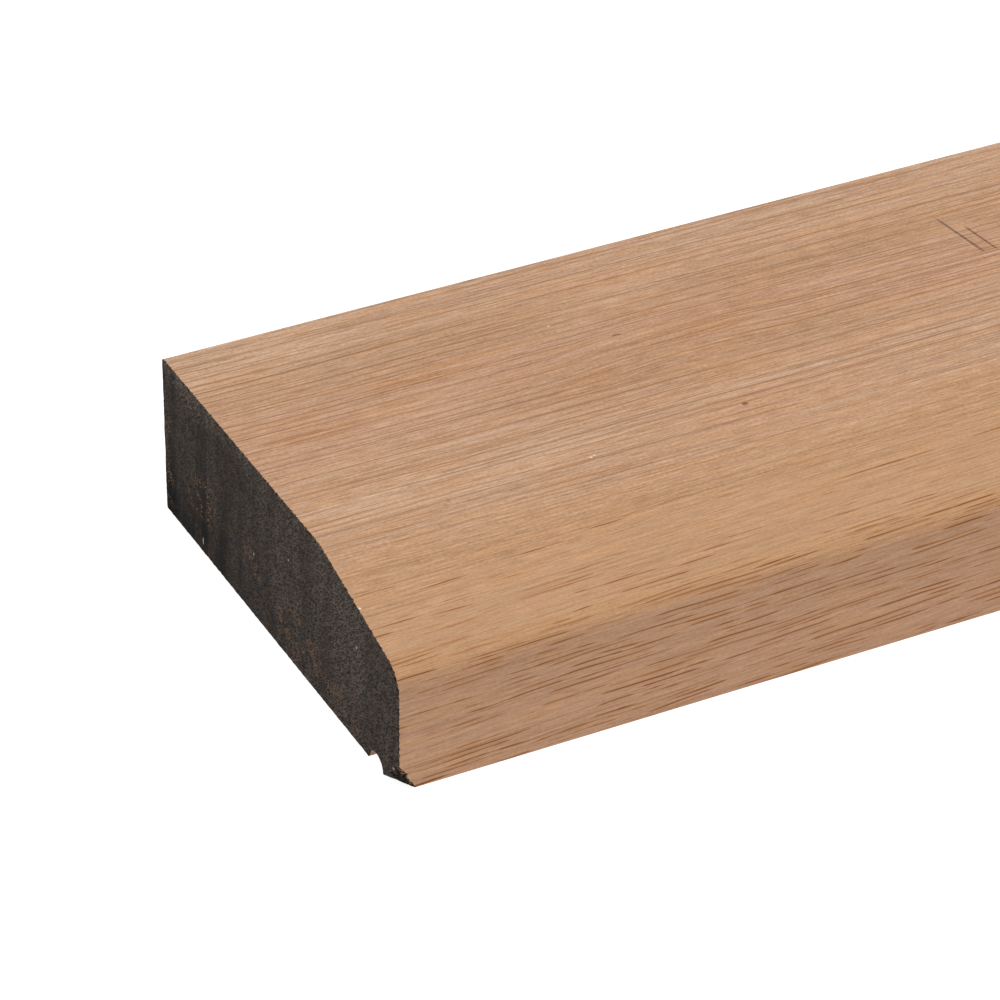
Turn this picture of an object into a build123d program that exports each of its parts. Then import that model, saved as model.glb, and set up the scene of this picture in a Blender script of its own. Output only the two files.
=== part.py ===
from build123d import *
import math
import os

# Oak door threshold strip. Sizes are in millimetres.
# X runs along the strip, -Y is the weather side, +Z is up.
# The origin is at the middle of the underside.

# Overall sizes
LENGTH = 914.0             # a 3 ft door opening, both end coats included
WIDTH = 145.0              # from the back face to the front face
HEIGHT = 48.4              # at the flat top

# Moulded section, measured from the back face
BEVEL_START = 98.5         # where the flat top and the bevel would meet as a sharp corner
BEVEL_ANGLE = 14.7         # fall of the bevel towards the weather side, in degrees
CROWN_RADIUS = 35.0        # eases the flat top into the bevel
NOSE_RADIUS = 8.5          # eases the bevel into the front face
DRIP_CENTRE = 132.0        # middle of the drip groove in the underside
DRIP_RADIUS = 4.3          # radius of the groove's round bottom
DRIP_DEPTH = 3.9

# Sealer brushed on the sawn end grain
COAT = 0.25

# Tear-out at the front bottom corner of the left end
CHIP_LENGTH = 4.6          # along the front bottom arris
CHIP_DEPTH = 8.5           # across the underside, just short of the drip groove
CHIP_HEIGHT = 8.7          # up the front face

# Worked out from the sizes above
BACK = WIDTH / 2
FRONT = -WIDTH / 2
LEFT = -LENGTH / 2
RIGHT = LENGTH / 2
CROWN_Y = BACK - BEVEL_START
NOSE_Z = HEIGHT - (WIDTH - BEVEL_START) * math.tan(math.radians(BEVEL_ANGLE))
CUTTER = 6 * CHIP_HEIGHT


def moulded_section():
    """The strip's cross-section, as a face in the YZ plane."""
    crown = (CROWN_Y, HEIGHT)
    nose = (FRONT, NOSE_Z)
    outline = make_face(Polyline((BACK, 0), (BACK, HEIGHT), crown, nose, (FRONT, 0), close=True))
    for corner, radius in ((crown, CROWN_RADIUS), (nose, NOSE_RADIUS)):
        point = Vector(*corner)
        vertex = min(outline.vertices(), key=lambda v: (Vector(v.X, v.Y) - point).length)
        outline = fillet(vertex, radius)
    outline -= Pos(BACK - DRIP_CENTRE, DRIP_DEPTH - DRIP_RADIUS) * Circle(DRIP_RADIUS)
    return Plane.YZ * outline


def length_of_section(start, end):
    """The section carried along X from start to end."""
    return extrude(Pos(start, 0, 0) * moulded_section(), amount=end - start, dir=(1, 0, 0))


def chip_cutter(offset):
    """A block outside the torn corner face, which is moved outwards by offset."""
    outwards = Vector(-1 / CHIP_LENGTH, -1 / CHIP_DEPTH, -1 / CHIP_HEIGHT).normalized()
    on_arris = Vector(LEFT + COAT + CHIP_LENGTH, FRONT, 0) + outwards * offset
    torn_face = Plane(origin=on_arris, z_dir=outwards)
    return torn_face * Pos(0, 0, CUTTER / 2) * Box(CUTTER, CUTTER, CUTTER)


def oak_sill():
    """The solid oak moulding, sawn square at both ends."""
    return length_of_section(LEFT + COAT, RIGHT - COAT) - chip_cutter(0)


def end_seal_left():
    """The coat on the left end grain, which also lines the torn corner."""
    coated = length_of_section(LEFT, LEFT + COAT + 2 * CHIP_LENGTH) - chip_cutter(COAT)
    return coated - oak_sill()


def end_seal_right():
    """The coat on the right end grain."""
    return length_of_section(RIGHT - COAT, RIGHT)


PARTS = {
    "oak_sill": oak_sill,
    "end_seal_left": end_seal_left,
    "end_seal_right": end_seal_right,
}

os.makedirs("parts", exist_ok=True)
for name, make in PARTS.items():
    solid = make()
    export_step(solid, f"parts/{name}.step")
    print(f"{name}: {solid.volume:.1f} cubic mm")
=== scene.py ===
"""Oak door threshold strip with sealed ends, on a white studio floor."""
import math

import bpy
import numpy as np
from mathutils import Matrix, Vector, noise
from mathutils.geometry import delaunay_2d_cdt


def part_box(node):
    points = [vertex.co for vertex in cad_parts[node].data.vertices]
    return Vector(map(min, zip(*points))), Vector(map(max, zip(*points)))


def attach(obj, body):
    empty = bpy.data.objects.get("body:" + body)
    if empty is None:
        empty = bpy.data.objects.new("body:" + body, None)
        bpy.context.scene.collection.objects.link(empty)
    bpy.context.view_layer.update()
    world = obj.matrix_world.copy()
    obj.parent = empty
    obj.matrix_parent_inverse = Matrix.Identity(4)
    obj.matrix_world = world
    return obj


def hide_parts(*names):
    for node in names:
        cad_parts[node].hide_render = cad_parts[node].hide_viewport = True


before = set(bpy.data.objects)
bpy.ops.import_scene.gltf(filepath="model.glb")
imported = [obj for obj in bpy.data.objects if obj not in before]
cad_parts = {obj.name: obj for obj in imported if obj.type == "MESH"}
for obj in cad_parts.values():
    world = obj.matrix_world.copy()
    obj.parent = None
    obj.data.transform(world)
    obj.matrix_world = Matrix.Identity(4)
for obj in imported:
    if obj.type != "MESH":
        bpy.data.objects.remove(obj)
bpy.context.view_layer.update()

# Meshes are worked out in millimetres and scaled to metres when they are made.
MM = 0.001
sill_low, sill_high = (np.array(corner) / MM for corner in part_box("oak_sill"))
coat_low = np.array(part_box("end_seal_left")[0]) / MM
LEFT, RIGHT = float(sill_low[0]), float(sill_high[0])
FRONT, BACK = float(sill_low[1]), float(sill_high[1])
LENGTH = RIGHT - LEFT
WIDTH = BACK - FRONT
HEIGHT = float(sill_high[2])
COAT = LEFT - float(coat_low[0])

# Moulded section, measured from the back face
BEVEL_START = 98.5
BEVEL_ANGLE = 14.7
CROWN_RADIUS = 35.0
NOSE_RADIUS = 8.5
DRIP_CENTRE = 132.0
DRIP_RADIUS = 4.3
DRIP_DEPTH = 3.9
ARRIS_RADIUS = 0.2

# Tear-out at the front bottom corner of the left end
CHIP_LENGTH = 4.8
CHIP_DEPTH = 8.6
CHIP_HEIGHT = 8.8

# How far from each end the skin still leans to follow the sawn face
END_REACH = 12.0
# Size of the triangles on the ends
END_GAP = 0.6

# Places on the pieces' texture maps: left, bottom, right, top
SKIN_AREA = (0.004, 0.02, 0.996, 0.996)
LEFT_END_AREA = (0.004, 0.004, 0.4, 0.014)
RIGHT_END_AREA = (0.5, 0.004, 0.9, 0.014)
COAT_OUTSIDE_AREA = (0.01, 0.01, 0.99, 0.90)
COAT_INSIDE_AREA = (0.01, 0.92, 0.99, 0.95)
COAT_RIM_AREA = (0.01, 0.97, 0.99, 0.985)


# ---------------------------------------------------------------- section

def rounded(before, corner, after, radius, steps):
    """Points of the arc that eases a corner of the section."""
    before, corner, after = Vector(before), Vector(corner), Vector(after)
    to_before = (before - corner).normalized()
    to_after = (after - corner).normalized()
    half = to_before.angle(to_after) / 2
    start = corner + to_before * radius / math.tan(half)
    end = corner + to_after * radius / math.tan(half)
    centre = corner + (to_before + to_after).normalized() * radius / math.sin(half)
    first = (start - centre).angle_signed((1, 0))
    sweep = (end - centre).angle_signed(start - centre)
    turns = [first + sweep * step / steps for step in range(steps + 1)]
    return [
        (centre.x + radius * math.cos(turn), centre.y + radius * math.sin(turn))
        for turn in turns
    ]


def section_chains():
    """The section's lower and upper chains of (y, z) points, from the back to the front."""
    crown = (BACK - BEVEL_START, HEIGHT)
    nose = (FRONT, HEIGHT - (WIDTH - BEVEL_START) * math.tan(math.radians(BEVEL_ANGLE)))
    back_foot, back_top, front_foot = (BACK, 0.0), (BACK, HEIGHT), (FRONT, 0.0)
    groove_y, groove_z = BACK - DRIP_CENTRE, DRIP_DEPTH - DRIP_RADIUS
    mouth = math.asin(-groove_z / DRIP_RADIUS)
    groove = [
        (groove_y + DRIP_RADIUS * math.cos(turn), groove_z + DRIP_RADIUS * math.sin(turn))
        for turn in np.linspace(mouth, math.pi - mouth, 19)
    ]
    lower = rounded(back_top, back_foot, front_foot, ARRIS_RADIUS, 3) + groove
    lower += rounded(back_foot, front_foot, nose, ARRIS_RADIUS, 3)
    upper = rounded(back_foot, back_top, crown, ARRIS_RADIUS, 3)
    upper += rounded(back_top, crown, nose, CROWN_RADIUS, 10)
    upper += rounded(crown, nose, front_foot, NOSE_RADIUS, 14)
    return lower, upper


def subdivided(points, spacing):
    """The points with more added between them, as close as spacing(y, z) asks."""
    result = [points[0]]
    for (y0, z0), (y1, z1) in zip(points, points[1:]):
        gap = math.hypot(y1 - y0, z1 - z0)
        pieces = max(1, math.ceil(gap / spacing((y0 + y1) / 2, (z0 + z1) / 2)))
        for n in range(1, pieces + 1):
            result.append((y0 + (y1 - y0) * n / pieces, z0 + (z1 - z0) * n / pieces))
    return result


def skin_spacing(y, z):
    """Gap between outline points, finest around the torn corner."""
    near_chip = y < FRONT + CHIP_DEPTH + 1.0 and z < CHIP_HEIGHT + 3.0
    return 0.4 if near_chip else 0.8


def section_outline():
    """Points round the section: along the underside to the front, up, and back over the top."""
    lower, upper = section_chains()
    lower = subdivided(lower + [upper[-1]], skin_spacing)
    upper = subdivided([lower[0]] + upper, skin_spacing)
    return lower[:-1] + upper[:0:-1]


def section_fill(outline, gap):
    """The section cut into small triangles: points, triangles, and which points are the outline."""
    lower, upper = section_chains()
    low_y, low_z = np.array(lower)[::-1].T
    up_y, up_z = np.array(upper)[::-1].T
    points = list(outline)
    for column, y in enumerate(np.arange(FRONT + gap, BACK - gap / 2, gap)):
        bottom = np.interp(y, low_y, low_z) + gap * (0.6 + 0.5 * (column % 2))
        top = np.interp(y, up_y, up_z) - gap * 0.6
        points += [(y, z) for z in np.arange(bottom, top, gap)]
    count = len(outline)
    edges = [(n, (n + 1) % count) for n in range(count)]
    result = delaunay_2d_cdt([Vector(point) for point in points], edges, [], 1, 1e-5)
    spots, _, triangles, sources, _, _ = result
    found = {source: n for n, group in enumerate(sources) for source in group}
    return [tuple(spot) for spot in spots], triangles, [found[n] for n in range(count)]


# ---------------------------------------------------------------- ends

def smooth_noise(x, y, z, octaves=3):
    """Smooth noise between about -1 and 1."""
    return noise.fractal(Vector((x, y, z)), 0.9, 2.1, octaves)


def sawn_relief(side, y, z):
    """Set-back of the sawn end grain: kerf lines across the section and rough fibres."""
    kerf = 0.03 * math.sin(2.1 * y + 0.35 * z + 2.5 * smooth_noise(0.05 * y, 0.05 * z, side))
    fibres = 0.05 * smooth_noise(1.7 * y, 1.7 * z, 4.0 + side)
    return kerf + fibres


def chip_relief(y, z):
    """Set-back of the torn corner: a slanting break with short splintered steps."""
    reach = 1 - (y - FRONT) / CHIP_DEPTH - z / CHIP_HEIGHT
    if reach < -0.25:
        return 0.0
    steps = 0.35 * noise.cell(Vector((0.0, 1.9 * y + 40.0, 2.2 * z + 7.0)))
    ragged = 0.35 * smooth_noise(0.3, 1.6 * y, 1.6 * z, 3)
    share = min(1.0, max(0.0, 0.25 + reach) * 3.0) * min(1.0, 0.2 + z / 2.5)
    depth = CHIP_LENGTH * reach + (steps + ragged) * share
    return max(0.0, depth)


def oak_end(side, y, z):
    """Where the oak ends along X at a point of the section. side is -1 at the left, 1 at the right."""
    if side < 0:
        return LEFT + sawn_relief(side, y, z) + chip_relief(y, z)
    return RIGHT - sawn_relief(side, y, z)


def coat_face(side, y, z):
    """Where the sealer's outer surface is along X."""
    drift = 0.25 * smooth_noise(0.3 * y, 0.3 * z, 9.0 + side)
    brushing = 0.2 * smooth_noise(2.3 * y, 2.3 * z, 5.0, 2)
    return oak_end(side, y, z) + side * COAT * (1.0 + drift + brushing)


# ---------------------------------------------------------------- meshes

def make_object(name, vertices, faces, material, layout=()):
    """A mesh piece. layout gives each face's corners a place on the piece's texture map."""
    mesh = bpy.data.meshes.new(name)
    mesh.from_pydata([(x * MM, y * MM, z * MM) for x, y, z in vertices], [], faces)
    if layout:
        places = [place for corners in layout for place in corners]
        texture_map = mesh.uv_layers.new(name="OFBake")
        texture_map.data.foreach_set("uv", np.array(places).ravel())
    mesh.materials.append(material)
    mesh.shade_smooth()
    mesh.set_sharp_from_angle(angle=math.radians(40.0))
    piece = bpy.data.objects.new(name, mesh)
    bpy.context.scene.collection.objects.link(piece)
    return piece


def map_place(area, u, v):
    """A point at shares u and v of a rectangle (left, bottom, right, top) of a texture map."""
    left, bottom, right, top = area
    return (left + (right - left) * u, bottom + (top - bottom) * v)


def section_place(area, y, z):
    """A point of the section, placed in a rectangle of a texture map."""
    return map_place(area, (BACK - y) / WIDTH, z / HEIGHT)


def wall(low, high, area, shares):
    """Faces between two rings of vertices, the first nearer the left end, and their map places."""
    faces, layout = [], []
    for n in range(len(low)):
        m = (n + 1) % len(low)
        faces.append((high[n], high[m], low[m], low[n]))
        corners = ((shares[n], 1), (shares[n + 1], 1), (shares[n + 1], 0), (shares[n], 0))
        layout.append([map_place(area, u, v) for u, v in corners])
    return faces, layout


def sheet(vertex_numbers, facing, area):
    """Faces that fill the section, facing along X towards -1 or 1, and their map places."""
    spots, triangles, _ = FILL
    faces, layout = [], []
    for triangle in triangles:
        (y0, z0), (y1, z1), (y2, z2) = (spots[n] for n in triangle)
        anticlockwise = (y1 - y0) * (z2 - z0) > (y2 - y0) * (z1 - z0)
        corners = triangle if anticlockwise == (facing > 0) else triangle[::-1]
        faces.append([vertex_numbers[n] for n in corners])
        layout.append([section_place(area, *spots[n]) for n in corners])
    return faces, layout


def girth_shares():
    """How far round the outline each of its points is, from 0 to 1."""
    reached = [0.0]
    for (y0, z0), (y1, z1) in zip(OUTLINE, OUTLINE[1:] + OUTLINE[:1]):
        reached.append(reached[-1] + math.hypot(y1 - y0, z1 - z0))
    return [distance / reached[-1] for distance in reached]


def stations_along():
    """Distances from the left end, close together near both ends."""
    near = [0.0]
    while near[-1] < 9.0:
        near.append(near[-1] + 0.3)
    while near[-1] < 30.0:
        near.append(near[-1] * 1.22)
    far = [LENGTH - gap for gap in (12.0, 6.0, 3.0, 1.5, 0.6, 0.0)]
    middle = np.linspace(near[-1], far[0], 30)[1:-1]
    return near + list(middle) + far


def ring_numbers(row):
    """Vertex numbers of one ring of the skin."""
    return range(row * len(OUTLINE), (row + 1) * len(OUTLINE))


def skin_vertices(stations):
    """The skin's rings of vertices. Those near an end lean to follow its sawn face."""
    vertices = []
    for distance in stations:
        left_share = max(0.0, 1 - distance / END_REACH)
        right_share = max(0.0, 1 - (LENGTH - distance) / END_REACH)
        for y, z in OUTLINE:
            left_shift = (oak_end(-1, y, z) - LEFT) * left_share
            right_shift = (oak_end(1, y, z) - RIGHT) * right_share
            vertices.append((LEFT + distance + left_shift + right_shift, y, z))
    return vertices


def skin_faces(stations):
    """Faces between the skin's rings, and their map places."""
    shares = girth_shares()
    left, bottom, right, top = SKIN_AREA
    heights = [bottom + (top - bottom) * distance / LENGTH for distance in stations]
    faces, layout = [], []
    for row in range(len(stations) - 1):
        area = (left, heights[row], right, heights[row + 1])
        more_faces, more_layout = wall(ring_numbers(row), ring_numbers(row + 1), area, shares)
        faces += more_faces
        layout += more_layout
    return faces, layout


def end_numbers(side, ring, vertices):
    """Vertex numbers of an end face: the skin's last ring, and new vertices inside it."""
    spots, _, outline_spots = FILL
    numbers = dict(zip(outline_spots, ring))
    for n, (y, z) in enumerate(spots):
        if n not in numbers:
            numbers[n] = len(vertices)
            vertices.append((oak_end(side, y, z), y, z))
    return numbers


def oak_mesh(material):
    """The moulding: one closed skin with a sawn end at each side."""
    stations = stations_along()
    vertices = skin_vertices(stations)
    faces, layout = skin_faces(stations)
    for side, row, area in ((-1, 0, LEFT_END_AREA), (1, len(stations) - 1, RIGHT_END_AREA)):
        numbers = end_numbers(side, ring_numbers(row), vertices)
        more_faces, more_layout = sheet(numbers, side, area)
        faces += more_faces
        layout += more_layout
    return make_object("oak_moulding", vertices, faces, material, layout)


def coat_mesh(name, side, material):
    """The sealer on one end: an outer and an inner sheet over the section, joined round the edge."""
    spots, _, outline_spots = FILL
    vertices = [(coat_face(side, y, z), y, z) for y, z in spots]
    vertices += [(oak_end(side, y, z), y, z) for y, z in spots]
    outer = range(len(spots))
    inner = range(len(spots), 2 * len(spots))
    rings = [[numbers[n] for n in outline_spots] for numbers in (outer, inner)]
    low, high = rings if side < 0 else rings[::-1]
    parts = [
        sheet(outer, side, COAT_OUTSIDE_AREA),
        sheet(inner, -side, COAT_INSIDE_AREA),
        wall(low, high, COAT_RIM_AREA, girth_shares()),
    ]
    faces = [face for part_faces, _ in parts for face in part_faces]
    layout = [corners for _, part_layout in parts for corners in part_layout]
    return make_object(name, vertices, faces, material, layout)


OUTLINE = section_outline()
FILL = section_fill(OUTLINE, END_GAP)


# ---------------------------------------------------------------- material formulas

class Field:
    """A value in a material's node tree, so that a pattern can be written as a formula."""

    def __init__(self, tree, socket):
        self.tree = tree
        self.socket = socket

    def math(self, operation, *others):
        """The result of a maths node on this value and others."""
        node = self.tree.nodes.new("ShaderNodeMath")
        node.operation = operation
        for place, value in enumerate((self,) + others):
            if isinstance(value, Field):
                self.tree.links.new(value.socket, node.inputs[place])
            else:
                node.inputs[place].default_value = value
        return Field(self.tree, node.outputs[0])

    def __add__(self, other):
        return self.math("ADD", other)

    def __sub__(self, other):
        return self.math("SUBTRACT", other)

    def __mul__(self, other):
        return self.math("MULTIPLY", other)

    def __truediv__(self, other):
        return self.math("DIVIDE", other)

    def fract(self):
        return self.math("FRACT")

    def floor(self):
        return self.math("FLOOR")

    def sine(self):
        return self.math("SINE")

    def size(self):
        """The value without its sign."""
        return self.math("ABSOLUTE")

    def most(self, other):
        """The larger of the two values."""
        return self.math("MAXIMUM", other)

    def least(self, other):
        """The smaller of the two values."""
        return self.math("MINIMUM", other)

    def ramp(self, start, end):
        """0 before start and 1 after end, with a smooth step between; start may be the larger."""
        node = self.tree.nodes.new("ShaderNodeMapRange")
        node.interpolation_type = "SMOOTHSTEP"
        rising = start < end
        node.inputs["From Min"].default_value = min(start, end)
        node.inputs["From Max"].default_value = max(start, end)
        node.inputs["To Min"].default_value = 0.0 if rising else 1.0
        node.inputs["To Max"].default_value = 1.0 if rising else 0.0
        self.tree.links.new(self.socket, node.inputs["Value"])
        return Field(self.tree, node.outputs["Result"])


class Solid:
    """A material whose pattern is laid out in millimetres along the strip, across it and up."""

    def __init__(self, name):
        self.material = bpy.data.materials.new(name)
        self.material.use_nodes = True
        self.tree = self.material.node_tree
        self.shader = self.tree.nodes["Principled BSDF"]
        coordinates = self.tree.nodes.new("ShaderNodeTexCoord")
        split = self.tree.nodes.new("ShaderNodeSeparateXYZ")
        self.tree.links.new(coordinates.outputs["Object"], split.inputs[0])
        self.x, self.y, self.z = (Field(self.tree, split.outputs[n]) * (1 / MM) for n in range(3))

    def point(self, x, y):
        """A place on a plane, as a pattern's coordinates."""
        node = self.tree.nodes.new("ShaderNodeCombineXYZ")
        for place, value in enumerate((x, y)):
            if isinstance(value, Field):
                self.tree.links.new(value.socket, node.inputs[place])
            else:
                node.inputs[place].default_value = value
        return node.outputs[0]

    def noise(self, x, y, detail=2.0, roughness=0.5):
        """Noise over a plane, between 0 and 1 and about 0.5 on average."""
        node = self.tree.nodes.new("ShaderNodeTexNoise")
        node.noise_dimensions = "2D"
        self.tree.links.new(self.point(x, y), node.inputs["Vector"])
        node.inputs["Scale"].default_value = 1.0
        node.inputs["Detail"].default_value = detail
        node.inputs["Roughness"].default_value = roughness
        return Field(self.tree, node.outputs[0])

    def scattered(self, x, y):
        """Two random numbers for each of the small cells that cover a plane."""
        node = self.tree.nodes.new("ShaderNodeTexVoronoi")
        node.voronoi_dimensions = "2D"
        self.tree.links.new(self.point(x, y), node.inputs["Vector"])
        node.inputs["Scale"].default_value = 1.0
        colour = self.tree.nodes.new("ShaderNodeSeparateColor")
        self.tree.links.new(node.outputs["Color"], colour.inputs[0])
        return Field(self.tree, colour.outputs[0]), Field(self.tree, colour.outputs[1])

    def blend(self, share, first, second):
        """A colour mixed from first to second; each is a colour or another blend."""
        node = self.tree.nodes.new("ShaderNodeMix")
        node.data_type = "RGBA"
        self.tree.links.new(share.socket, node.inputs["Factor"])
        for place, colour in ((6, first), (7, second)):
            if isinstance(colour, Field):
                self.tree.links.new(colour.socket, node.inputs[place])
            else:
                node.inputs[place].default_value = (*colour, 1.0)
        return Field(self.tree, node.outputs[2])

    def painted(self, tone, *layers):
        """The tone under layers of other colours, each given as its share and its colour."""
        for share, colour in layers:
            tone = self.blend(share, tone, colour)
        return tone

    def tinted(self, colour, filter_colour):
        """The colour multiplied channel by channel by another."""
        node = self.tree.nodes.new("ShaderNodeVectorMath")
        node.operation = "MULTIPLY"
        self.tree.links.new(colour.socket, node.inputs[0])
        self.tree.links.new(filter_colour.socket, node.inputs[1])
        return Field(self.tree, node.outputs[0])

    def scaled(self, colour, factor):
        """The colour made lighter or darker by a factor."""
        node = self.tree.nodes.new("ShaderNodeVectorMath")
        node.operation = "SCALE"
        self.tree.links.new(colour.socket, node.inputs[0])
        self.tree.links.new(factor.socket, node.inputs["Scale"])
        return Field(self.tree, node.outputs[0])

    def finish(self, colour, roughness, height, depth):
        """Links the pattern to the shader. depth is the height's full range in millimetres."""
        bump = self.tree.nodes.new("ShaderNodeBump")
        bump.inputs["Strength"].default_value = 1.0
        bump.inputs["Distance"].default_value = depth * MM
        self.tree.links.new(height.socket, bump.inputs["Height"])
        self.tree.links.new(colour.socket, self.shader.inputs["Base Color"])
        self.tree.links.new(roughness.socket, self.shader.inputs["Roughness"])
        self.tree.links.new(bump.outputs[0], self.shader.inputs["Normal"])
        return self.material


# ---------------------------------------------------------------- materials

# Spacing of growth rings, rows of pores and rows of rays
RING_GAP = 2.6
PORE_GAP = 1.3
RAY_GAP = 1.5

# Streaks in the wood: size across the grain, length along it, and strength
STREAKS = (
    (0.5, 1.1, 0.40),
    (0.4, 6.0, 0.55),
    (0.8, 34.0, 0.32),
    (1.6, 65.0, 0.12),
    (3.7, 140.0, 0.07),
    (7.4, 280.0, 0.07),
    (16.0, 400.0, 0.07),
)

# Broad patches: distance from the left end, distance from the back, half-length and half-width
DEEPER_PATCHES = (
    (130.0, 60.0, 85.0, 19.0),
    (55.0, 26.0, 80.0, 15.0),
    (195.0, 31.0, 80.0, 10.0),
    (330.0, 40.0, 120.0, 16.0),
    (520.0, 62.0, 140.0, 18.0),
    (720.0, 34.0, 130.0, 17.0),
)
PALER_PATCHES = (
    (4.0, 8.0, 60.0, 18.0),
    (45.0, 89.0, 75.0, 9.0),
)
# Smaller patches of orange figure, placed the same way
FIGURE_PATCHES = (
    (138.0, 51.0, 24.0, 4.5),
    (104.0, 61.0, 18.0, 5.0),
    (22.0, 51.0, 16.0, 4.5),
    (64.0, 38.5, 28.0, 4.5),
    (395.0, 57.0, 34.0, 5.0),
    (610.0, 33.0, 40.0, 4.5),
    (790.0, 66.0, 30.0, 5.0),
)
# Small marks on the top, placed the same way
DARK_SPOTS = (
    (130.6, 89.5, 1.3, 0.9),
    (116.0, 43.7, 2.0, 0.45),
)
FAINT_SPOTS = (
    (37.2, 97.0, 1.2, 0.8),
    (38.6, 95.8, 0.7, 1.4),
)
WHITE_SPECKS = (
    (81.4, 94.2, 0.5, 0.5),
    (82.6, 93.7, 0.5, 0.35),
    (0.5, 121.5, 0.5, 0.5),
    (101.5, 31.5, 0.5, 0.3),
)
# Thin dark scores across the grain: where each starts and ends, placed the same way, and half-width
SCORES = (
    ((227.2, 29.0), (230.2, 52.2), 0.70),
    ((232.2, 36.0), (234.3, 53.0), 0.60),
)


class Oak(Solid):
    """Wood grain laid out by the distance from the left end and the distance round the section."""

    def __init__(self):
        super().__init__("oak")
        self.length = self.x - LEFT
        self.from_back = self.y * -1.0 + BACK
        self.front_side = self.from_back.ramp(102.0, 130.0)
        around = self.from_back - self.z + HEIGHT
        tilt = ((self.length - 135.0) / 130.0).sine() * self.front_side * 5.6
        wander = self.noise(self.length / 110.0, around / 25.0, detail=1.0) * 2.4
        swirl = self.spot(130.0, 52.0, 40.0, 15.0) * 1.4
        self.grain = around + tilt + wander + swirl

    def along(self, length, across, detail=0.0, shift=0.0):
        """Noise stretched along the grain."""
        return self.noise(self.length / length + shift, self.grain / across + shift, detail=detail)

    def spot(self, length, from_back, half_length, half_width):
        """1 in the middle of an oval patch or mark, 0 outside it."""
        sideways = (self.length - length) / half_length
        across = (self.from_back - from_back) / half_width
        return (sideways * sideways + across * across).ramp(1.0, 0.1)

    def score(self, start, end, half_width):
        """1 on a thin straight line across the top, 0 beside it."""
        slope = (end[0] - start[0]) / (end[1] - start[1])
        beside = (self.length - (self.from_back - start[1]) * slope - start[0]).size()
        begun = self.from_back.ramp(start[1] - 1.0, start[1] + 3.0)
        ended = self.from_back.ramp(end[1], end[1] - 5.0)
        return beside.ramp(half_width, 0.0) * begun * ended


def most_of(fields):
    """The largest of several values."""
    result = fields[0]
    for field in fields[1:]:
        result = result.most(field)
    return result


def streaks(oak):
    """A value around 0.5 from streaks of many sizes along the grain, fainter towards the front."""
    total = 0.0
    for order, (across, along, strength) in enumerate(STREAKS):
        total = (oak.along(along, across, shift=17.0 * order) - 0.5) * strength + total
    return total * (oak.front_side * -0.35 + 1.0) + 0.5


def ring_lines(oak):
    """Dark pore lines and pale summer-wood lines of the growth rings."""
    rings = (oak.grain + oak.noise(oak.grain / 7.0, 3.0, detail=1.0) * 4.5) / RING_GAP
    phase, ring = rings.fract(), rings.floor()
    seen = chance_along(oak, ring, 140.0, detail=1.0).ramp(0.36, 0.56)
    dark = phase.ramp(0.26, 0.05) * phase.ramp(0.0, 0.05) * seen
    patchy = oak.along(120.0, 2.1, detail=1.0, shift=9.0).ramp(0.42, 0.68)
    pale = (phase - 0.62).size().ramp(0.22, 0.0) * patchy
    return dark, pale


def in_rows(oak, pitch, shift):
    """Rows along the grain: a row's number, and how far off its middle line, as a share of the pitch."""
    waver = oak.noise(oak.length / 30.0, oak.grain / 4.0, detail=1.0) * 1.4
    rows = (oak.grain + waver) / pitch + shift
    row = rows.floor()
    beside = (rows.fract() - 0.5 + (oak.noise(row * 7.7, 0.5) - 0.5) * 0.9).size()
    return row, beside


def chance_along(oak, row, stretch, detail=2.0):
    """Noise that runs along each row by itself."""
    return oak.noise(oak.length / stretch + row * 3.71, row * 5.37, detail=detail)


def pore_lines(oak):
    """Long thin lines of open pores."""
    row, beside = in_rows(oak, PORE_GAP, 0.4)
    return (chance_along(oak, row, 45.0).ramp(0.42, 0.70) * 0.26 - beside).ramp(-0.04, 0.12)


def ray_dashes(oak):
    """Thin dark dashes where rays reach the skin, most of them at the front, and the stain beside them."""
    row, beside = in_rows(oak, RAY_GAP, 0.0)
    # Shorter towards the front
    stretch = row.ramp(72.0, 100.0) * -20.0 + 44.0
    chance = chance_along(oak, row, stretch, detail=3.5)
    # Commoner on the bevel, the front and the back face
    density = oak.from_back.ramp(98.0, 138.0) * 0.16 + oak.from_back.ramp(137.0, 143.0) * 0.085
    density = density + oak.from_back.ramp(0.5, 0.1) * 0.24 - 0.20
    width = (chance + density).ramp(0.47, 0.67)
    depth = oak.noise(oak.length / 30.0 + row * 1.7, row * 9.3, detail=1.0).ramp(0.38, 0.60) * 0.45 + 0.55
    dash = (width * 0.16 - beside).ramp(0.0, 0.065) * depth
    stain = (width * 0.46 - beside).ramp(-0.05, 0.33)
    return dash, stain


def broad_colour(oak):
    """Pinkish top, golden bevel, a painted highlight on the nose, and a browner front whose colour is
    partly painted shade, darker towards its top.
    """
    from_back = oak.from_back
    warm = oak.along(90.0, 8.0, detail=2.0, shift=61.0).ramp(0.32, 0.68)
    pink = from_back.ramp(22.0, 46.0) * from_back.ramp(80.0, 58.0)
    # Painted shade: the front's browner colour stands partly for shade on a face turned from the light,
    # and it darkens further towards the top of the front.
    front = oak.z.ramp(35.5, 33.0) * from_back.ramp(120.0, 141.0)
    front_tone_with_painted_shade = oak.blend(oak.z.ramp(8.0, 30.0), (0.482, 0.274, 0.163), (0.452, 0.258, 0.153))
    return oak.painted(
        oak.blend(warm, (0.482, 0.297, 0.190), (0.490, 0.285, 0.170)),
        (pink * 0.8, (0.476, 0.272, 0.168)),
        (from_back.ramp(94.0, 116.0) * 0.8, (0.479, 0.273, 0.144)),
        (from_back.ramp(16.0, 4.0) * 0.5, (0.505, 0.325, 0.220)),
        # Painted highlight: the nose is made lighter and more golden than the bevel beside it.
        (from_back.ramp(137.0, 143.5), (0.504, 0.285, 0.144)),
        (front, front_tone_with_painted_shade),
    )


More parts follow.
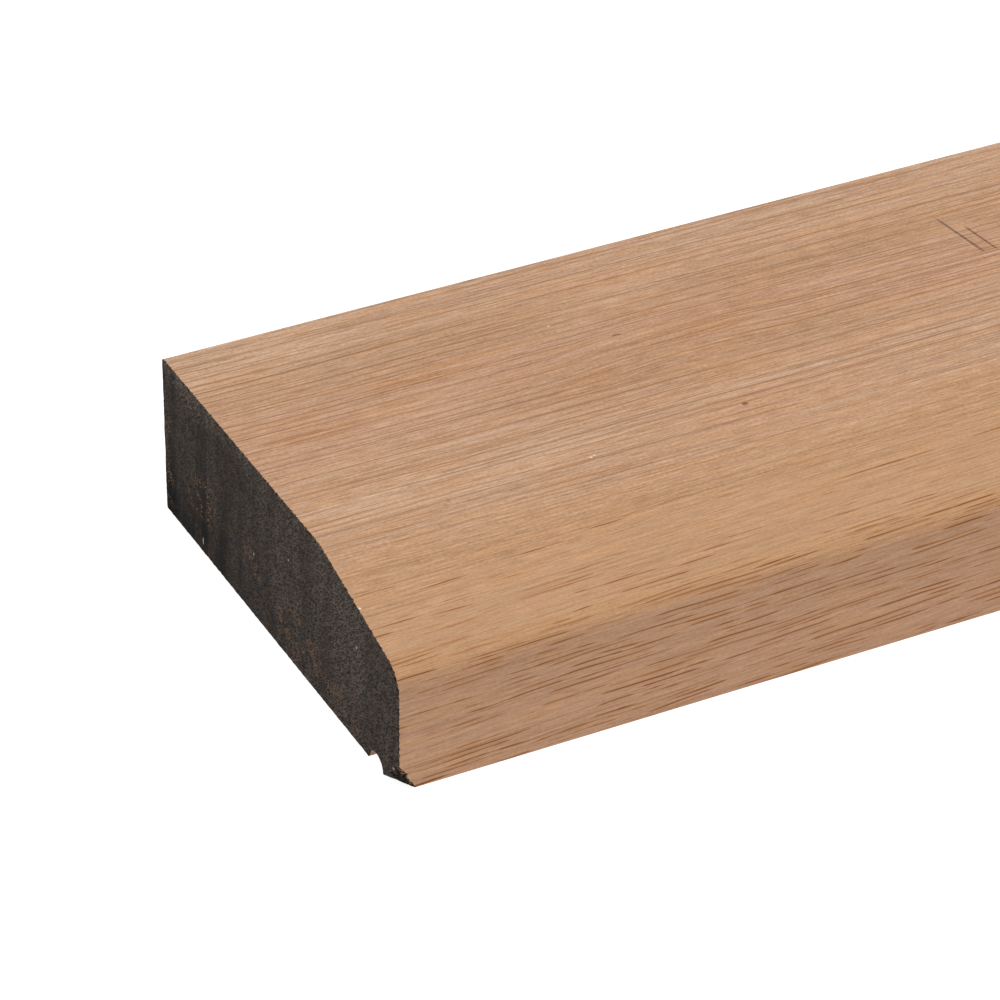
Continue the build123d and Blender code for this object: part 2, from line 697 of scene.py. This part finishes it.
def patched(oak, tone):
    """The tone with the broad patches and the orange figure."""
    deeper = most_of([oak.spot(*place) for place in DEEPER_PATCHES])
    paler = most_of([oak.spot(*place) for place in PALER_PATCHES])
    figure = most_of([oak.spot(*place) for place in FIGURE_PATCHES])
    figure = figure * oak.along(30.0, 3.0, detail=2.0, shift=71.0).ramp(0.35, 0.60)
    return oak.painted(
        tone,
        (deeper * 0.45, (0.400, 0.226, 0.125)),
        (paler * 0.45, (0.570, 0.370, 0.240)),
        (figure * 0.62, (0.440, 0.215, 0.098)),
    )


def marked(oak, tone, open_grain):
    """The tone with small spots, specks and scores on the top. Scores are darkest in the open grain."""
    upper = oak.z.ramp(20.0, 30.0)
    dark = most_of([oak.spot(*place) for place in DARK_SPOTS]) * upper
    faint = most_of([oak.spot(*place) for place in FAINT_SPOTS]) * upper
    white = most_of([oak.spot(*place) for place in WHITE_SPECKS]) * upper
    scores = most_of([oak.score(*place) for place in SCORES]) * upper * (open_grain + 0.55)
    return oak.painted(
        tone,
        (dark * 0.80, (0.150, 0.058, 0.026)),
        (faint * 0.35, (0.180, 0.090, 0.055)),
        ((scores * 1.5).least(0.9), (0.130, 0.065, 0.045)),
        (white * 0.8, (0.800, 0.740, 0.650)),
    )


def sealer_bleed(oak):
    """1 on the very edges of both ends, where a little sealer is drawn into the skin."""
    end_distance = oak.length.least(oak.length * -1.0 + LENGTH)
    ragged = oak.noise(oak.y / 1.1, oak.z / 1.1, detail=3.0)
    return (end_distance - ragged + 0.52).ramp(0.22, 0.0)


def oak_material():
    """Planed bare oak, with painted shade inside the drip groove and on the front, and a painted highlight
    on the nose.
    """
    oak = Oak()
    oak.shader.inputs["Specular IOR Level"].default_value = 0.2
    dark_ring, pale_ring = ring_lines(oak)
    pore = pore_lines(oak)
    dash, stain = ray_dashes(oak)
    top_side = oak.from_back.ramp(112.0, 88.0)
    fibre = oak.along(7.0, 0.35, detail=1.0, shift=51.0)
    fleck = oak.noise(oak.length / 30.0, oak.grain / 3.0, detail=1.0).ramp(0.48, 0.72)
    # Painted shade: the inside of the drip groove is darkened where little light reaches.
    drip_groove_shade = (oak.from_back - DRIP_CENTRE).size().ramp(4.8, 4.1) * oak.z.ramp(4.6, 4.1)

    tone = oak.painted(
        patched(oak, broad_colour(oak)),
        (fleck * (top_side * -0.02 + 0.38), (0.520, 0.276, 0.128)),
        (pale_ring * (top_side * 0.22 + 0.06), (0.580, 0.380, 0.262)),
    )
    tone = oak.tinted(tone, oak.blend(streaks(oak), (0.62, 0.53, 0.42), (1.38, 1.47, 1.58)))
    tone = oak.painted(
        tone,
        (dark_ring * (top_side * 0.40 + 0.26), (0.235, 0.105, 0.042)),
        (pore * (top_side * 0.20 + 0.22), (0.235, 0.105, 0.042)),
        (stain * 0.72, (0.450, 0.212, 0.084)),
        (dash * 0.95, (0.190, 0.070, 0.025)),
        (drip_groove_shade * 0.6, (0.210, 0.110, 0.085)),
    )
    tone = marked(oak, tone, pore + dark_ring)
    tone = oak.blend(sealer_bleed(oak), tone, (0.030, 0.022, 0.018))
    roughness = fibre * 0.2 + 0.55
    height = fibre * 0.5 - dark_ring * 0.3 - dash * 0.5
    return oak.finish(tone, roughness, height, depth=0.05)


# Worn places on the sealer, where bare fibres show: from the back, up, half-width, half-height
WORN_PATCHES = (
    (25.0, 18.0, 13.0, 11.0),
    (58.0, 17.0, 6.5, 9.0),
    (85.0, 9.0, 20.0, 12.0),
    (111.0, 5.0, 15.0, 8.0),
    (2.0, 18.0, 4.0, 20.0),
)
# The fuzzy place near the top, given the same way
FUZZY_PATCH = (20.0, 48.0, 22.0, 9.0)
# Grain lines that show through the sealer: distance from the back at the top, how much nearer
# the back they are at the foot, half-width
COATED_RINGS = (
    (41.6, 2.2, 0.45),
    (58.7, 1.4, 0.35),
    (18.0, 1.8, 0.30),
)
# Pale flecks stuck in the sealer: from the back, up, half-width, half-height
COATED_FLECKS = (
    (24.4, 3.6, 0.35, 1.5),
    (121.0, 30.0, 0.5, 0.5),
    (80.0, 31.7, 0.4, 0.4),
    (58.0, 20.0, 0.4, 0.6),
    (142.0, 5.6, 0.5, 0.5),
)
# How far up and back from the front bottom corner the torn place reaches
TORN_REACH = 8.5


class Sealer(Solid):
    """Sealer over sawn end grain, laid out by the distance from the back and the height."""

    def __init__(self):
        super().__init__("end_sealer")
        self.from_back = self.y * -1.0 + BACK
        slant = (self.from_back * 0.64 - self.z) / 0.36
        grain, self.spark = self.scattered(self.from_back / 0.68, slant)
        patchy = self.noise(self.from_back / 3.5, slant / 3.6, detail=2.0, roughness=0.7)
        self.grit = grain.ramp(0.10, 0.92) * 0.76 + (patchy - 0.5) * 0.38 - 0.04
        self.torn = (self.z / TORN_REACH + (self.y - FRONT) / TORN_REACH).ramp(1.0, 0.7)

    def oval(self, centre, up, half_width, half_height, inner=0.0):
        """1 in the middle of an oval patch, 0 outside it."""
        sideways = (self.from_back - centre) / half_width
        upward = (self.z - up) / half_height
        return (sideways * sideways + upward * upward).ramp(1.0, inner)


def sealer_shade(sealer):
    """How light the coat is: palest at the front, darkest low at the back and in the torn corner."""
    from_back, z = sealer.from_back, sealer.z
    cloud = sealer.noise(sealer.y / 8.0, z / 60.0, detail=1.0)
    shade = from_back.ramp(0.0, 120.0) * 0.52 + z.ramp(0.0, 22.0) * 0.12 + cloud.ramp(0.34, 0.64) * 0.36
    shade = shade - z.ramp(28.0, 6.0) * from_back.ramp(70.0, 20.0) * 0.30
    shade = shade + z.ramp(42.0, 47.5) * from_back.ramp(70.0, 50.0) * 0.40
    return shade - sealer.torn * 0.7 + 0.25


def bare_fibres(sealer):
    """Orange-brown fibres, thickest in the worn patches."""
    worn = most_of([sealer.oval(*place) for place in WORN_PATCHES]) * 0.70 + 0.30
    broken = sealer.noise(sealer.y / 5.0 + 9.0, sealer.z / 5.0, detail=2.0).ramp(0.38, 0.62)
    return sealer.spark.ramp(0.60, 0.84) * worn * broken


def torn_fibres(sealer):
    """Pale splinters along the front edge of the torn corner."""
    edge = (sealer.y - FRONT).ramp(1.9, 0.5) * sealer.z.ramp(1.0, 2.0)
    return sealer.torn * edge * sealer.spark.ramp(0.60, 0.72)


def coated_rings(sealer):
    """Dark leaning lines of the growth rings under the coat."""
    lines = []
    for place, lean, half_width in COATED_RINGS:
        line = sealer.from_back - (sealer.z - HEIGHT) * (lean / HEIGHT) - place
        lines.append(line.size().ramp(half_width, 0.0))
    return most_of(lines)


def sealer_material():
    """Matt charcoal sealer brushed on sawn oak."""
    sealer = Sealer()
    sealer.shader.inputs["Specular IOR Level"].default_value = 0.04
    fuzz = sealer.spark.ramp(0.62, 0.90) * sealer.oval(*FUZZY_PATCH)
    flecks = most_of([sealer.oval(*place, 0.3) for place in COATED_FLECKS])
    forward = sealer.from_back.ramp(10.0, 60.0)
    pits = sealer.blend(forward, (0.0100, 0.0052, 0.0026), (0.0100, 0.0064, 0.0045))
    tone = sealer.blend(sealer.grit.most(0.0), pits, (0.113, 0.093, 0.079))
    tone = sealer.painted(
        sealer.scaled(tone, sealer_shade(sealer)),
        (coated_rings(sealer) * 0.5, (0.010, 0.008, 0.007)),
        (fuzz * 0.5, (0.180, 0.145, 0.110)),
        (bare_fibres(sealer) * 0.68, (0.215, 0.108, 0.048)),
        (torn_fibres(sealer) * 0.75, (0.360, 0.220, 0.115)),
        (flecks * 0.8, (0.420, 0.390, 0.350)),
    )
    roughness = sealer.grit * 0.3 + 0.6
    return sealer.finish(tone, roughness, sealer.grit, depth=0.12)


# ---------------------------------------------------------------- studio

# Camera: metres, degrees and millimetres of lens
CAMERA_PLACE = (-0.88978, -0.95778, 0.75531)
CAMERA_AZIMUTH = -27.5103
CAMERA_ELEVATION = 34.0207
CAMERA_ROLL = 0.6433
CAMERA_LENS = 175.07

FLOOR_HALF = 6000.0
# The floor lies just under the strip, so that the two surfaces don't share a plane
FLOOR_TOP = -0.02


def add_camera():
    """Looks down along the strip from beyond its left end."""
    camera = bpy.data.objects.new("camera", bpy.data.cameras.new("camera"))
    camera.data.lens = CAMERA_LENS
    camera.data.sensor_width = 36.0
    camera.data.clip_end = 50.0
    azimuth, elevation, roll = (
        math.radians(angle) for angle in (CAMERA_AZIMUTH, CAMERA_ELEVATION, CAMERA_ROLL)
    )
    back = Vector((
        math.sin(azimuth) * math.cos(elevation),
        -math.cos(azimuth) * math.cos(elevation),
        math.sin(elevation),
    ))
    right = Vector((0, 0, 1)).cross(back).normalized()
    up = back.cross(right)
    turned_right = right * math.cos(roll) + up * math.sin(roll)
    turned_up = up * math.cos(roll) - right * math.sin(roll)
    turn = Matrix((turned_right, turned_up, back)).transposed().to_4x4()
    camera.matrix_world = Matrix.Translation(CAMERA_PLACE) @ turn
    bpy.context.scene.collection.objects.link(camera)
    bpy.context.scene.camera = camera


def add_soft_light(name, location, target, size, power):
    """A rectangular lamp that points at its target."""
    light = bpy.data.lights.new(name, "AREA")
    light.shape = "RECTANGLE"
    light.size, light.size_y = size
    light.energy = power
    lamp = bpy.data.objects.new(name, light)
    lamp.location = location
    lamp.rotation_euler = (Vector(target) - Vector(location)).to_track_quat("-Z", "Y").to_euler()
    bpy.context.scene.collection.objects.link(lamp)


def add_floor():
    """A wide floor, bright enough to look white."""
    material = bpy.data.materials.new("white_floor")
    material.use_nodes = True
    shader = material.node_tree.nodes["Principled BSDF"]
    shader.inputs["Base Color"].default_value = (0.3, 0.3, 0.3, 1.0)
    shader.inputs["Roughness"].default_value = 0.8
    shader.inputs["Emission Color"].default_value = (1.0, 1.0, 1.0, 1.0)
    shader.inputs["Emission Strength"].default_value = 0.92
    corners = [
        (x * FLOOR_HALF, y * FLOOR_HALF, FLOOR_TOP)
        for x, y in ((-1, -1), (1, -1), (1, 1), (-1, 1))
    ]
    floor = make_object("floor", corners, [(0, 1, 2, 3)], material)


def add_world():
    """Even light from all round."""
    world = bpy.data.worlds.new("studio")
    world.use_nodes = True
    background = world.node_tree.nodes["Background"]
    background.inputs["Color"].default_value = (1.0, 1.0, 1.0, 1.0)
    background.inputs["Strength"].default_value = 0.35
    bpy.context.scene.world = world


# ---------------------------------------------------------------- assembly

oak = oak_material()
sealer = sealer_material()
PIECES = (
    (oak_mesh(oak), "oak_sill", "oak"),
    (coat_mesh("left_end_coat", -1, sealer), "end_seal_left", "end_sealer"),
    (coat_mesh("right_end_coat", 1, sealer), "end_seal_right", "end_sealer"),
)
for piece, node, slot in PIECES:
    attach(piece, "root")
    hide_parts(node)

add_floor()
add_world()
add_soft_light("overhead", location=(-0.1, -0.1, 2.1), target=(0, 0, 0), size=(2.4, 1.8), power=45.0)
add_camera()
bpy.context.scene.view_settings.view_transform = "Standard"
